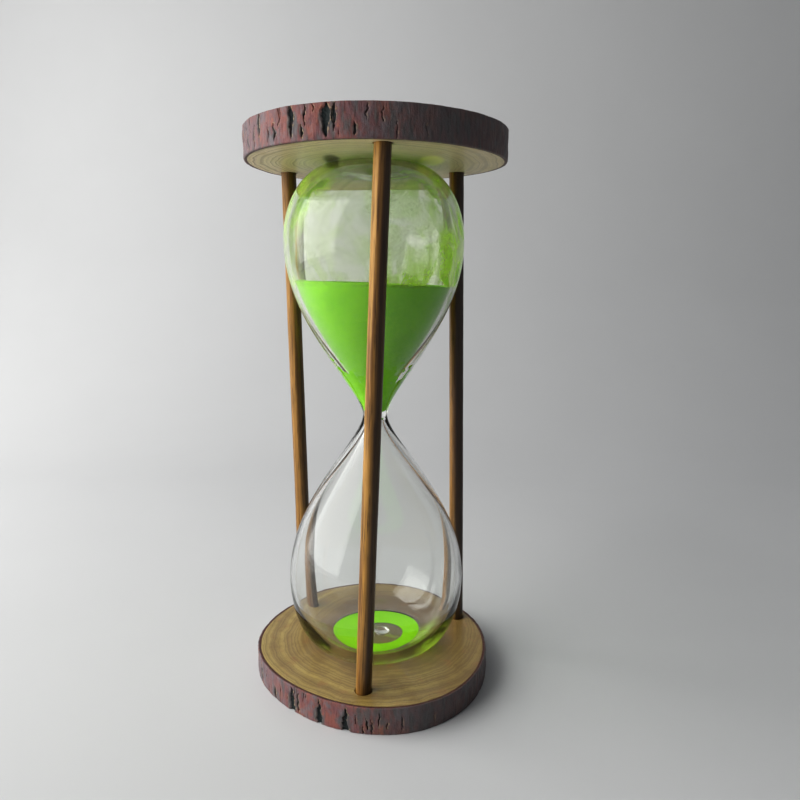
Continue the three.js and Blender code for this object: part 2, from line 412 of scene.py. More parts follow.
@dataclass(frozen=True)
class EndGrain:
    """A sawn and varnished end of a branch, with growth rings round its pith."""

    name: str
    pith: tuple[float, float]
    heart: Colour
    sap: Colour
    late_wood: Colour
    warm: Colour
    ring: float = 1.5 * MM
    ring_share: float = 0.42
    dark_side: float = 0.5
    heart_radius: float = 24 * MM
    sap_radius: float = 42 * MM
    squash: float = 0.96
    gloss: float = 0.34
    coat: float = 0.2
    knots_and_light: tuple[KnotAndLightMark, ...] = ()
    knots_and_light_below: float = 0.0
    slow_sway: float = 8 * MM
    fine_sway: float = 2.0 * MM
    zone_sway: float = 22 * MM
    side_sway: float = 20 * MM
    side_limits: tuple[float, float] = (8 * MM, 48 * MM)
    ray_cells: float = 46.0
    ray_scale: float = 130.0

    def material(self) -> bpy.types.Material:
        """Rings are a saw-tooth of the distance from the pith, bent by slow noise."""
        s = Shader.material(self.name)
        place = s.place()
        flat = s.mapped(place, (-self.pith[0], -self.pith[1] * self.squash, 0), (1, self.squash, 0))
        sway = s.noise(flat, 30, 3)
        radius = s.vector("LENGTH", flat)
        bent = s.swayed(radius, sway, self.slow_sway)
        bent = s.swayed(bent, s.noise(flat, 190, 4, 0.6), self.fine_sway)
        phase = s.math("DIVIDE", bent, self.ring)
        phase = s.math("ADD", phase, s.math("MULTIPLY", s.line_noise(phase, 0.35, 1.0), 2.2))
        tooth = s.math("FRACT", phase)
        late = s.math("MULTIPLY", s.spread(tooth, 0.30, 0.86), s.spread(tooth, 1.0, 0.90))
        weight = s.line_noise(s.math("FLOOR", phase), 3.7)
        late = s.math("MULTIPLY", late, s.spread(weight, 0.25, 0.75, 0.15, 1.0))
        depth = s.swayed(bent, s.noise(flat, 34, 3), self.zone_sway)
        wood = s.laid(self.heart, self.sap, depth, self.heart_radius, self.sap_radius)
        wood = s.laid(wood, self.heart, s.line_noise(bent, 170.0, 3.0), 0.46, 0.66, 0.55)
        wood = s.blend(s.math("MULTIPLY", late, self.ring_share), wood, self.late_wood)
        wood = s.laid(wood, self.late_wood, s.line_noise(bent, 1500.0), 0.48, 0.75, 0.28)
        # Darker towards the right: the heart colour is laid more thickly the further right the point lies.
        side = s.math("ADD", s.part(place, 0), s.math("MULTIPLY", sway, self.side_sway))
        wood = s.laid(wood, self.heart, side, *self.side_limits, self.dark_side)
        angle = s.math("ARCTAN2", s.part(flat, 1), s.part(flat, 0))
        polar = {0: s.math("MULTIPLY", angle, self.ray_cells), 1: s.math("MULTIPLY", radius, self.ray_scale)}
        rays = s.noise(s.node("ShaderNodeCombineXYZ", polar).outputs[0], 1.0, 3, 0.6)
        wood = s.laid(wood, self.late_wood, rays, 0.55, 0.75, 0.22)
        fibre = s.noise(place, 2600, 3, 0.65)
        wood = s.laid(wood, self.late_wood, fibre, 0.50, 0.76, 0.55)
        blotch = s.noise(flat, 110, 5, 0.65)
        wood = s.laid(wood, self.heart, blotch, 0.42, 0.70, 0.45)
        wood = s.laid(wood, self.warm, s.noise(flat, 150, 4, 0.6), 0.54, 0.70, 0.35)
        under = s.math("LESS_THAN", s.part(place, 2), self.knots_and_light_below)
        # Each mark is a real knot or a painted pool of light on the underside.
        for face_mark in self.knots_and_light:
            wood = self.marked(s, wood, place, sway, face_mark, under)
        height = s.weighed(late, -0.5, fibre, 0.4)
        shine = s.spread(blotch, 0.3, 0.7, self.gloss - 0.06, self.gloss + 0.1)
        return s.finish(
            s.principled(
                Base_Color=wood,
                Roughness=shine,
                Normal=s.bump(height, 0.05 * MM, 0.6),
                Coat_Weight=self.coat,
                Coat_Roughness=0.14,
            )
        )

    @staticmethod
    def marked(
        s: Shader, wood: Socket, place: Socket, sway: Socket, face_mark: KnotAndLightMark, under: Socket
    ) -> Socket:
        """The wood with one mark, a knot or a painted pool of light, laid into its underside: full inside an
        ellipse, fading at its rim.

        Args:
            s: the material that is being written.
            wood: the colour so far.
            place: the point's place on the object.
            sway: noise that makes the rim ragged.
            face_mark: the knot's place, size and colour.
            under: 1 on the underside, else 0.

        Returns:
            face_mark: the mark's place, size and colour.
        """
        scale = (1 / face_mark.half_width, 1 / face_mark.half_length, 0)
        move = (-face_mark.x * scale[0], -face_mark.y * scale[1], 0)
        away = s.swayed(s.vector("LENGTH", s.mapped(place, move, scale)), sway, 0.6)
        share = s.spread(away, 1.0 + face_mark.fade, 1.0 - face_mark.fade, 0.0, face_mark.strength)
        return s.blend(s.math("MULTIPLY", share, under), wood, face_mark.colour)


@dataclass(frozen=True)
class Bark:
    """Smooth reddish bark with grey bloom, sooty cracks and pale torn lips, painted shade on its right side
    and a painted grey sheen on its left.
    """

    name: str = "bark"
    red: Colour = (0.28, 0.098, 0.078)
    rose: Colour = (0.19, 0.083, 0.088)
    bloom: Colour = (0.17, 0.150, 0.165)
    ember: Colour = (0.40, 0.13, 0.068)
    soot: Colour = (0.100, 0.097, 0.097)
    crack: Colour = (0.010, 0.017, 0.017)
    lip: Colour = (0.46, 0.34, 0.20)
    cut: Colour = (0.075, 0.026, 0.020)
    painted_shade_side: tuple[float, float] = (-14 * MM, 22 * MM)
    painted_sheen_side: tuple[float, float] = (-22 * MM, -46 * MM)

    def material(self) -> bpy.types.Material:
        """Reads the mesh's own crack, lip, soot and skin values, with noise drawn out along the stem, and
        paints shade on the right side and a grey sheen on the left.
        """
        s = Shader.material(self.name)
        place = s.place()
        crack, lip, soot, skin = (s.attribute(key) for key in ("crack", "lip", "soot", "skin"))
        streak = s.noise(s.mapped(place, scale=(1, 1, 0.14)), 1500, 4, 0.6)
        long_streak = s.noise(s.mapped(place, (0.5, 0, 0), (1, 1, 0.25)), 420, 3, 0.6)
        cloud = s.noise(place, 120, 4, 0.6)
        patch = s.noise(s.mapped(place, (0.3, 0.1, 0), (1, 1, 0.6)), 230, 5, 0.66)
        speck = s.noise(place, 2500, 3, 0.7)
        bark = s.laid(self.red, self.rose, cloud, 0.36, 0.62)
        bark = s.laid(bark, self.bloom, patch, 0.48, 0.66, 0.85)
        bark = s.laid(bark, self.ember, patch, 0.40, 0.28, 0.8)
        bark = s.laid(bark, self.soot, long_streak, 0.48, 0.66, 0.85)
        bark = s.laid(bark, self.cut, streak, 0.50, 0.78, 0.7)
        bark = s.laid(bark, self.lip, speck, 0.60, 0.76, 0.3)
        side = s.part(place, 0)
        # Painted shade: the soot colour laid over the right side, away from the window.
        bark = s.laid(bark, self.soot, side, *self.painted_shade_side, 0.72)
        # Painted sheen: the grey bloom colour laid over the far left, where the window shines on the bark.
        bark = s.laid(bark, self.bloom, side, *self.painted_sheen_side, 0.5)
        bark = s.laid(bark, self.soot, s.swayed(soot, patch, 1.3), 0.34, 0.9, 0.85)
        bark = s.blend(s.math("MULTIPLY", lip, s.spread(speck, 0.32, 0.55)), bark, self.lip)
        ragged = s.swayed(s.swayed(crack, speck, 0.6), patch, 0.9)
        hollow = s.laid(self.crack, self.cut, patch, 0.50, 0.62, 0.6)
        bark = s.laid(bark, hollow, ragged, 0.22, 0.42)
        bark = s.laid(bark, self.cut, skin, 0.9, 0.6)
        height = s.weighed(streak, 0.7, speck, 0.5)
        return s.finish(
            s.principled(
                Base_Color=bark,
                Roughness=s.spread(streak, 0.3, 0.8, 0.42, 0.8),
                Normal=s.bump(height, 0.3 * MM, 0.8),
            )
        )


@dataclass(frozen=True)
class StainedStick:
    """Stained dowel wood: grain along the stick, darker pores, painted shade on one side and a thin varnish.
    """

    name: str = "dowel_stain_and_shade"
    light: Colour = (0.40, 0.20, 0.042)
    dark: Colour = (0.18, 0.080, 0.017)
    pore: Colour = (0.030, 0.014, 0.006)
    shade: Colour = (0.020, 0.010, 0.005)
    shade_limits: tuple[float, float] = (0.9 * MM, -1.4 * MM)
    shade_share: float = 0.85
    shade_sway: float = 0.6 * MM

    def material(self) -> bpy.types.Material:
        """Noise in the stick's own directions, drawn out thirty times along it, and one side darkened with
        painted shade.
        """
        s = Shader.material(self.name)
        along = s.attribute("stick", vector=True)
        wide = s.noise(s.mapped(along, scale=(1, 1, 0.03)), 480, 4, 0.6)
        fine = s.noise(s.mapped(along, scale=(1, 1, 0.04)), 1900, 4, 0.65)
        mottle = s.noise(s.mapped(along, (0.2, 0, 0), (1, 1, 0.35)), 160, 3)
        wood = s.laid(self.light, self.dark, wide, 0.40, 0.62)
        wood = s.laid(wood, self.dark, mottle, 0.42, 0.75, 0.5)
        wood = s.laid(wood, self.pore, fine, 0.47, 0.70, 0.75)
        # Painted shade: the side facing away from the window is darkened towards the shade colour.
        across = s.math("ADD", s.part(along, 0), s.math("MULTIPLY", wide, self.shade_sway))
        wood = s.laid(wood, self.shade, across, *self.shade_limits, self.shade_share)
        return s.finish(
            s.principled(
                Base_Color=wood,
                Roughness=s.spread(fine, 0.3, 0.75, 0.34, 0.6),
                Normal=s.bump(fine, 0.12 * MM, 0.7),
                Coat_Weight=0.08,
                Coat_Roughness=0.25,
            )
        )


class GlassKind(Enum):
    """The two glasses: the clear blown body and the whitish melted seal."""

    CLEAR = "clear_glass"
    SEAL = "seal_glass"


@dataclass(frozen=True)
class BlownGlass:
    """Glass with faint waves in its surface, and a second tint above the waist."""

    kind: GlassKind
    tint: Colour
    upper_tint: Colour
    roughness: float
    wave_depth: float
    tint_heights: tuple[float, float] = (98 * MM, 150 * MM)
    refraction: float = 1.45
    shadow_tint: Colour = (0.93, 0.94, 0.93)

    def material(self) -> bpy.types.Material:
        """Clear glass whose surface swells and sinks a little, and which lets lamplight through."""
        s = Shader.material(self.kind.value)
        place = s.place()
        swell = s.noise(s.mapped(place, scale=(1, 1, 0.4)), 90, 1)
        glass = s.principled(
            Base_Color=s.laid(self.tint, self.upper_tint, s.part(place, 2), *self.tint_heights),
            Roughness=self.roughness,
            IOR=self.refraction,
            Transmission_Weight=1.0,
            Normal=s.bump(swell, self.wave_depth, 0.5),
        )
        clear = s.node("ShaderNodeBsdfTransparent", {"Color": (*self.shadow_tint, 1.0)}).outputs[0]
        shadow = s.node("ShaderNodeLightPath").outputs["Is Shadow Ray"]
        return s.finish(s.mixed(shadow, glass, clear))


@dataclass(frozen=True)
class DyedSand:
    """Fine dyed sand, matt, with grains a shade lighter or darker."""

    name: str = "green_sand"
    body: Colour = (0.21, 0.59, 0.003)
    pale: Colour = (0.36, 0.72, 0.03)
    deep: Colour = (0.14, 0.45, 0.004)

    def material(self) -> bpy.types.Material:
        """Grain by grain colour from small cells, over slow cloudy changes."""
        s = Shader.material(self.name)
        place = s.place()
        grain = s.node("ShaderNodeTexVoronoi", {"Vector": place, "Scale": 3800.0})
        tone = s.node("ShaderNodeSeparateColor", {0: grain.outputs["Color"]}).outputs[0]
        cloud = s.noise(place, 90, 3)
        sand = s.laid(self.body, self.deep, cloud, 0.35, 0.7, 0.4)
        sand = s.laid(sand, self.pale, tone, 0.6, 1.0, 0.5)
        sand = s.laid(sand, self.deep, tone, 0.35, 0.0, 0.5)
        return s.finish(
            s.principled(
                Base_Color=sand,
                Roughness=0.95,
                Specular_IOR_Level=0.2,
                Normal=s.bump(grain.outputs["Distance"], 0.1 * MM, 0.5),
            )
        )


@dataclass(frozen=True)
class SandDust:
    """A see-through film of sand dust, thicker to one side and in cloudy patches."""

    name: str = "sand_dust"
    colour: Colour = (0.50, 0.76, 0.06)

    def material(self) -> bpy.types.Material:
        """The cover is the mesh's own dust value, broken up into wisps and flecks by noise."""
        s = Shader.material(self.name)
        place = s.place()
        dust = s.attribute("dust")
        wisps = s.node(
            "ShaderNodeTexNoise",
            {"Vector": s.mapped(place, scale=(1, 1, 0.8)), "Scale": 62.0, "Detail": 4.0, "Distortion": 1.6},
        )
        fleck = s.noise(place, 1100, 3, 0.7)
        cover = s.math("MULTIPLY", dust, s.spread(wisps.outputs["Fac"], 0.43, 0.62, 0.2, 1.8))
        cover = s.math("MULTIPLY", cover, s.spread(fleck, 0.25, 0.75, 0.6, 1.3), clamp=True)
        lit = s.principled(Base_Color=(*self.colour, 1.0), Roughness=0.95, Specular_IOR_Level=0.1)
        through = s.node("ShaderNodeBsdfTranslucent", {"Color": (*self.colour, 1.0)}).outputs[0]
        clear = s.node("ShaderNodeBsdfTransparent").outputs[0]
        return s.finish(s.mixed(cover, clear, s.mixed(0.5, lit, through)))


@dataclass(frozen=True)
class StudioPaper:
    """Pale matt paper for the floor and the wall behind."""

    name: str = "studio_paper"
    colour: Colour = (0.665, 0.67, 0.675)

    def material(self) -> bpy.types.Material:
        """Nearly even paper with a faint mottle."""
        s = Shader.material(self.name)
        mottle = s.noise(s.place(), 12, 3)
        darker = tuple(0.96 * c for c in self.colour)
        paper = s.blend(mottle, self.colour, darker)
        return s.finish(s.principled(Base_Color=paper, Roughness=0.85, Specular_IOR_Level=0.2))


# ---- Slices ----


@dataclass(frozen=True)
class Crack:
    """One upright crack, measured in the slice's thickness but for its angle in degrees.

    The fullest place is a share of its own height, counted from its lower end.
    """

    degrees: float
    middle: float
    half_height: float
    half_width: float
    fullest: float = 0.5
    strength: float = 1.0


@dataclass
class Outline:
    """The inner edge of a slice's bark, as a mean radius with waves round it."""

    terms: np.ndarray

    WAVES = 6

    @classmethod
    def of_bark(cls, node: str, axis: np.ndarray) -> "Outline":
        """Fits the waves through the innermost corners of a bark ring.

        Args:
            node: the bark's CAD node.
            axis: where the ring's angles are measured from.

        Returns:
            The fitted outline.
        """
        flat = node_points(node)[:, :2] - axis
        angle = np.arctan2(flat[:, 1], flat[:, 0])
        radius = np.hypot(flat[:, 0], flat[:, 1])
        station = np.round(angle * 2000).astype(int)
        stations, member = np.unique(station, return_inverse=True)
        inner = np.full(len(stations), np.inf)
        np.minimum.at(inner, member, radius)
        terms = np.linalg.lstsq(cls.columns(stations / 2000.0), inner, rcond=None)[0]
        return cls(terms)

    @classmethod
    def columns(cls, angle: np.ndarray) -> np.ndarray:
        """One, then the cosine and sine of each multiple of the angle, side by side."""
        order = np.arange(1, cls.WAVES + 1)
        turned = angle[..., None] * order
        ones = np.ones((*angle.shape, 1))
        return np.concatenate([ones, np.cos(turned), np.sin(turned)], axis=-1)

    def radius(self, angle: np.ndarray) -> np.ndarray:
        """The distance from the axis at each angle."""
        return self.columns(angle) @ self.terms


@dataclass
class Slice:
    """A slice of a branch: a sawn disc kept from the CAD, and the bark round it."""

    disc: str
    ring: str
    grain: EndGrain
    bark: Bark
    axis: np.ndarray
    seed: int
    cracks: tuple[Crack, ...]
    around: int = 1400
    side_rows: int = 44
    face_rows: int = 5
    thickness: float = 1.25 * MM
    edge: float = 0.35 * MM
    thinnest: float = 0.12 * MM
    crack_depth: float = 0.95 * MM
    soot_depth: float = 0.12 * MM
    lip_height: float = 0.16 * MM
    lip_offset: float = 0.16 * MM
    lip_width: float = 0.26 * MM
    face_skin: float = 0.55
    calm: tuple[float, float] = (-78, 8)
    sways: tuple[Wave, ...] = (Wave(0.45 * MM, 1, 70, 6), Wave(0.28 * MM, 6, 260, 14))
    swells: tuple[Wave, ...] = (Wave(0.14 * MM, 2, 26, 3), Wave(0.10 * MM, 3, 95, 4))
    ridges: tuple[Wave, ...] = (Wave(0.06 * MM, 4, 340, 5), Wave(0.035 * MM, 5, 620, 26))
    crack_floor: Wave = Wave(0.18, 7, 520, 30)
    lip_patches: Wave = Wave(1.3, 8, 300, 11)

    def build(self) -> None:
        """Dresses the disc and makes the bark ring."""
        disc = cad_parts[self.disc]
        disc.data.materials.clear()
        disc.data.materials.append(self.grain.material())
        log.info("%s: dressed as %s", self.disc, self.grain.name)
        name = f"{self.ring}_skin"
        place_piece(self.bark_surface().build(name, 60.0), self.bark.material(), "bark", self.ring)

    def all_cracks(self) -> list[Crack]:
        """The slice's own cracks, seeded larger ones on its other sides, and hairlines all round."""
        rng = np.random.default_rng(self.seed)
        large = drawn(rng, 15, (12, 175), (0.3, 0.7), (0.3, 0.7), (0.04, 0.16), (0.15, 0.85))
        hair = drawn(rng, 90, (-180, 180), (0.05, 0.95), (0.08, 0.34), (0.014, 0.034), (0.35, 0.9))
        start, end = self.calm
        fine = [Crack(*row[:4], strength=row[4]) for row in hair if not start < row[0] < end]
        return [*self.cracks, *(Crack(*row) for row in large), *fine]

    def crack_field(self, angle: np.ndarray, share: np.ndarray, height: float) -> dict[str, np.ndarray]:
        """How deep each point lies in a crack, and how much it is a torn lip or sooty bark.

        From each end of a crack its half width grows as a power of the distance up to the
        fullest place. Two reliefs push its middle line about. Across the crack the depth falls
        off to the rim, the lip is a narrow bell on the rim and the soot a wide one round it.

        Args:
            angle: the points' angles.
            share: the points' heights as a share of the thickness.
            height: the slice's thickness.

        Returns:
            Values from 0 to 1 for crack, lip and soot.
        """
        turn = angle / TURN
        sway = self.relief(self.sways, turn, share)
        floor = 1 - self.crack_floor.height + self.crack_floor.at(self.seed, turn, share)
        patchy = ease(0.34 + self.lip_patches.at(self.seed, turn, share))
        depth, lip, soot = (np.zeros(sway.shape) for _ in range(3))
        for crack in self.all_cracks():
            away = np.angle(np.exp(1j * (angle - math.radians(crack.degrees))))
            across = away * self.mean_radius + sway
            up = (share - crack.middle) / (2 * crack.half_height) + 0.5
            towards = np.where(up < crack.fullest, up / crack.fullest, (1 - up) / (1 - crack.fullest))
            width = crack.half_width * height * np.clip(towards, 0, 1) ** 0.7 + 1e-7
            off = np.abs(across)
            live = (up > 0) & (up < 1)
            fall = np.clip((1 - off / width) * 1.6, 0, 1) * floor * crack.strength
            depth = np.maximum(depth, np.where(live, fall, 0))
            rim = bell(off - width - self.lip_offset, self.lip_width)
            torn = crack.strength * min(1.0, 0.35 + crack.half_width / 0.1) * np.where(across > 0, 1.0, 0.2)
            lip = np.maximum(lip, np.where(live, rim * patchy * torn, 0))
            reach = (0.25 + 2.2 * crack.half_width) * MM * 2
            cloud = bell(np.clip(off - width, 0, None), reach) * np.clip(1.3 - np.abs(2 * up - 1), 0, 1)
            soot = np.maximum(soot, cloud * crack.strength * min(1.0, crack.half_width / 0.05))
        return {"crack": depth, "lip": lip * (depth < 0.3), "soot": soot}

    def relief(self, waves: tuple[Wave, ...], turn: np.ndarray, along: np.ndarray) -> np.ndarray:
        """The sum of some layers of relief."""
        return sum(wave.at(self.seed, turn, along) for wave in waves)

    @property
    def mean_radius(self) -> float:
        """The bark's mean distance from the axis."""
        low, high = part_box(self.ring)
        return float(high[0] - low[0] + high[1] - low[1]) / 4

    def bark_surface(self) -> Surface:
        """A ring whose section runs up the outside, across the top, down the inside and back.

        The outside stands off the disc by the bark's thickness, plus slow swells and fine
        ridges, less the cracks. Its two rims are rounded by a quarter circle.
        """
        low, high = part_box(self.ring)
        bottom, height = low[2], high[2] - low[2]
        angle = full_turn(self.around)
        bend = np.linspace(0, math.pi / 2, self.face_rows)
        rounded = self.edge * (1 - np.cos(bend))
        upright = np.linspace(self.edge, height - self.edge, self.side_rows)[1:-1]
        climb = np.concatenate([rounded, upright, height - rounded[::-1]])
        into = np.where(climb < self.edge, self.edge - climb, np.clip(climb - height + self.edge, 0, None))
        worn = self.edge - np.sqrt(np.clip(self.edge**2 - into**2, 0, None))
        share = (climb / height)[:, None]
        values = self.crack_field(angle, share, height)
        stand = self.thickness + self.relief((*self.swells, *self.ridges), angle / TURN, share)
        stand = stand + self.lip_height * values["lip"] - self.crack_depth * values["crack"]
        outside = np.maximum(stand - self.soot_depth * values["soot"] - worn[:, None], self.thinnest)
        inner = Outline.of_bark(self.ring, self.axis).radius(angle[0]) - CLEARANCE
        spans = np.linspace(1, 0, self.face_rows)[1:, None]
        top, base = outside[-1:] * spans, outside[:1] * spans[::-1]
        offset = np.vstack([outside, top, base])
        heights = np.concatenate([climb, np.full(len(top), height), np.zeros(len(base))])
        radius = inner[None, :] + offset
        points = round_axis(self.axis, radius, angle, bottom + heights[:, None])
        faces = np.vstack([spans, spans[::-1]]) * np.ones_like(angle) * self.face_skin
        skin = np.vstack([np.ones_like(outside), faces])
        none = np.zeros_like(faces)
        grids = {key: np.vstack([grid, none]) for key, grid in values.items()}
        return Surface(points, closed_rows=True, values={**grids, "skin": skin})


# ---- Dowels ----


@dataclass
class Dowel:
    """A round stick, not quite straight or even, on the line of its CAD node."""

    node: str
    finish: StainedStick
    seed: int
    around: int = 56
    along: int = 150
    chamfer: float = 0.5 * MM
    uneven: float = 0.05 * MM
    facets: int = 9
    facet_share: float = 0.45
    grain_step: float = 0.37

    def build(self) -> None:
        """Makes the stick over the length of its CAD node."""
        stick = self.surface().build(f"{self.node}_stick", 50.0)
        place_piece(stick, self.finish.material(), "dowel_wood", self.node)

    def ends(self) -> tuple[np.ndarray, np.ndarray, float]:
        """The middles of the CAD stick's two ends, and its radius.

        Returns:
            Lower end, upper end, and radius.
        """
        corners = node_points(self.node)
        middle = (corners[:, 2].min() + corners[:, 2].max()) / 2
        lower, upper = corners[corners[:, 2] < middle], corners[corners[:, 2] > middle]
        start, end = (half.min(axis=0) / 2 + half.max(axis=0) / 2 for half in (lower, upper))
        way = (end - start) / np.linalg.norm(end - start)
        spokes = lower - start
        spokes = spokes - np.outer(spokes @ way, way)
        return start, end, float(np.linalg.norm(spokes, axis=1).max())

    def surface(self) -> Surface:
        """A tube round the line, with a short chamfer at each end.

        The radius is that of a circle, less a share of what a many-sided figure inside it
        lacks, so the stick looks shaved and not turned. Each stick has its own stretch of grain.
        """
        start, end, radius = self.ends()
        length = float(np.linalg.norm(end - start))
        way = (end - start) / length
        side = np.cross(way, [0.0, 1.0, 0.0])
        side /= np.linalg.norm(side)
        front = np.cross(way, side)
        edge = self.chamfer
        plain = np.linspace(edge, length - edge, self.along)
        run = np.concatenate([[0.0], plain, [length]])
        angle = full_turn(self.around)
        share, turn = (run / length)[:, None], angle / TURN
        bumps = self.uneven * Relief(self.seed, 7, 9).at(turn, share)
        bumps = bumps + 0.4 * self.uneven * Relief(self.seed + 1, 18, 60).at(turn, share)
        taper = edge * (1 - np.clip(np.minimum(run, length - run) / edge, 0, 1))
        corner = math.pi / self.facets
        off_middle = np.mod(angle + self.seed, 2 * corner) - corner
        whittled = self.facet_share * radius * (1 - math.cos(corner) / np.cos(off_middle))
        spoke = radius - self.uneven + bumps - taper[:, None] - whittled
        x, y = spoke * np.cos(angle), spoke * np.sin(angle)
        points = start + x[..., None] * side + y[..., None] * front + run[:, None, None] * way
        grain = np.broadcast_to(run[:, None], x.shape) + self.seed * self.grain_step
        stick = np.stack([x, y, grain], axis=-1)
        return Surface(points, first_pole=start, last_pole=end, vectors={"stick": stick})


# ---- Glass and sand ----


@dataclass(frozen=True)
class BulbShape:
    """One bulb, with heights measured from its own end towards the waist."""

    rest: float
    inner_rest: float
    widest: float
    widest_height: float
    punt: float
    floor: float


@dataclass
class Glass:
    """The double bulb: walls of revolution with slow blown unevenness, open only at the filling hole."""

    axis: np.ndarray
    lower: BulbShape = BulbShape(20 * MM, 15 * MM, 34.8 * MM, 27.8 * MM, 1.5 * MM, 1 * MM)
    upper: BulbShape = BulbShape(14 * MM, 13.3 * MM, 33.8 * MM, 28 * MM, 3 * MM, 2 * MM)
    wall: float = 2 * MM
    waist: float = 4.75 * MM
    orifice: float = 1 * MM
    orifice_half: float = 1.2 * MM
    funnel: float = 3 * MM
    funnel_drop: float = 2.6 * MM
    shoulder_reach: float = 31 * MM
    waist_reach: float = 10 * MM
    hole: float = 2.4 * MM
    hole_drift: tuple[float, float] = (2.2 * MM, -3.2 * MM)
    drift_radii: tuple[float, float] = (7 * MM, 18 * MM)
    drift_height: float = 10 * MM
    uneven: float = 0.12 * MM
    even_radius: float = 5 * MM
    even_fade: float = 20 * MM
    tip: float = 0.02 * MM
    around: int = 144

    def __post_init__(self) -> None:
        """Reads the glass's place and height from the frame."""
        low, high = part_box("glass_body")
        self.bottom, self.height = low[2], high[2] - low[2]
        self.half = self.height / 2

    @property
    def waist_height(self) -> float:
        """The height of the waist's middle above the ground."""
        return self.bottom + self.half

    def drifted(self, points: np.ndarray) -> np.ndarray:
        """The points with the lower bulb's floor shifted near the axis, as the filling hole is.

        The whole shift holds inside the first radius, and a smooth step ends it at the second.
        """
        away = np.linalg.norm(points[..., :2] - self.axis, axis=-1)
        start, end = self.drift_radii
        near_floor = points[..., 2] < self.bottom + self.drift_height
        share = np.where(near_floor, 1 - ease((away - start) / (end - start)), 0)
        moved = points.copy()
        moved[..., :2] += share[..., None] * np.array(self.hole_drift)
        return moved

    def wall_curve(self, bulb: BulbShape, inside: bool, start: float, count: int) -> np.ndarray:
        """One bulb's wall in profile, from its end to the waist, as rows of radius and height.

        The end is half a cosine wave, the shoulder a quarter ellipse, and the body a cubic
        curve with four handles that runs upright at both ends.

        Args:
            bulb: the bulb's sizes.
            inside: true for the inner face of the wall.
            start: the radius where the profile starts.
            count: how many points the body gets.

        Returns:
            The profile's points.
        """
        floor = bulb.floor if inside else 0.0
        rest = bulb.inner_rest if inside else bulb.rest
        widest = bulb.widest - (self.wall if inside else 0.0)
        foot = self.funnel if inside else self.waist
        foot_height = self.half - (self.funnel_drop if inside else 0.0)
        across = np.linspace(start, rest, count // 4, endpoint=False)
        end = np.column_stack([across, floor + bulb.punt / 2 * (1 + np.cos(math.pi * across / rest))])
        turn = np.linspace(0, math.pi / 2, count // 2, endpoint=False)
        shoulder = np.column_stack([
            rest + (widest - rest) * np.sin(turn),
            bulb.widest_height - (bulb.widest_height - floor) * np.cos(turn),
        ])
        t = np.linspace(0, 1, count)[:, None]
        handles = np.array([
            [widest, bulb.widest_height],
            [widest, bulb.widest_height + self.shoulder_reach],
            [foot, foot_height - self.waist_reach],
            [foot, foot_height],
        ])
        powers = np.hstack([(1 - t) ** 3, 3 * t * (1 - t) ** 2, 3 * t**2 * (1 - t), t**3])
        return np.vstack([end, shoulder, powers @ handles])

    def funnel_curve(self) -> np.ndarray:
        """From the funnel's foot into the orifice: a quarter ellipse in profile."""
        turn = np.linspace(0, math.pi / 2, 12)[1:]
        drop = self.funnel_drop - self.orifice_half
        start = self.half - self.funnel_drop
        return np.column_stack([
            self.orifice + (self.funnel - self.orifice) * np.cos(turn),
            start + drop * np.sin(turn),
        ])

    def placed(self, curve: np.ndarray, turned_over: bool) -> np.ndarray:
        """A bulb's profile at its height above the ground, turned over for the upper bulb."""
        height = self.height - curve[:, 1] if turned_over else curve[:, 1]
        placed = np.column_stack([curve[:, 0], self.bottom + height])
        return placed[::-1] if turned_over else placed

    def standing(self, bulb: BulbShape, inside: bool, start: float, count: int = 110) -> np.ndarray:
        """One bulb's wall in profile, as rows of radius and height above the ground, from below up."""
        return self.placed(self.wall_curve(bulb, inside, start, count), bulb is self.upper)

    def ripple(self, radius: np.ndarray, height: np.ndarray, turn: np.ndarray, inside: bool) -> np.ndarray:
        """The unevenness of the blown wall, which fades out near the axis.

        Args:
            radius: the points' distances from the axis.
            height: their heights above the ground.
            turn: their angles as a share of a turn.
            inside: true for the inner face of the wall.

        Returns:
            What is added to each radius.
        """
        share = (height - self.bottom) / self.height
        seed = 71 if inside else 61
        waves = Relief(seed, 5, 7).at(turn, share) + 0.35 * Relief(seed + 1, 11, 20).at(turn, share)
        return self.uneven * waves * ease((radius - self.even_radius) / self.even_fade)

    def swept(self, profile: np.ndarray, inside: np.ndarray, offset: float = 0.0) -> np.ndarray:
        """The profile carried round the axis, with the ripple added to its radius.

        Args:
            profile: rows of radius and height.
            inside: for each row, whether it lies on the inner face.
            offset: added to every radius.

        Returns:
            A grid of points.
        """
        angle = full_turn(self.around)
        radius, height = profile[:, :1], profile[:, 1:]
        inner, outer = (self.ripple(radius, height, angle / TURN, face) for face in (True, False))
        waves = np.where(inside[:, None], inner, outer)
        return round_axis(self.axis, radius + waves + offset, angle, height)

    def upper_inner_radius(self, height: np.ndarray, angle: np.ndarray) -> np.ndarray:
        """The inner wall's radius in the body of the upper bulb, at each height and angle."""
        curve = self.standing(self.upper, True, 0.0, 400)
        part = curve[: np.argmax(curve[:, 0]) + 1]
        radius = np.interp(height, part[:, 1], part[:, 0])
        return radius + self.ripple(radius, height, angle / TURN, True)

    def build(self, finish: BlownGlass) -> None:
        """One closed section: up the outside, down the inside and out through the filling hole."""
        outside = np.vstack([
            self.standing(self.lower, False, self.hole),
            self.standing(self.upper, False, self.tip)[1:],
        ])
        inside = np.vstack([
            self.standing(self.lower, True, self.hole),
            self.placed(self.funnel_curve(), False),
            self.placed(self.funnel_curve(), True),
            self.standing(self.upper, True, self.tip),
        ])
        section = np.vstack([outside, inside[::-1]])
        flags = np.concatenate([np.zeros(len(outside), bool), np.ones(len(inside), bool)])
        grid = self.drifted(self.swept(section, flags))
        split = len(outside)
        shell = Surface(np.concatenate([grid[split:], grid[:split]]))
        shell.first_pole = np.array([*self.axis, section[split, 1]])
        shell.last_pole = np.array([*self.axis, section[split - 1, 1]])
        place_piece(shell.build("glass_double_bulb", 50.0), finish.material(), "clear_glass", "glass_body")


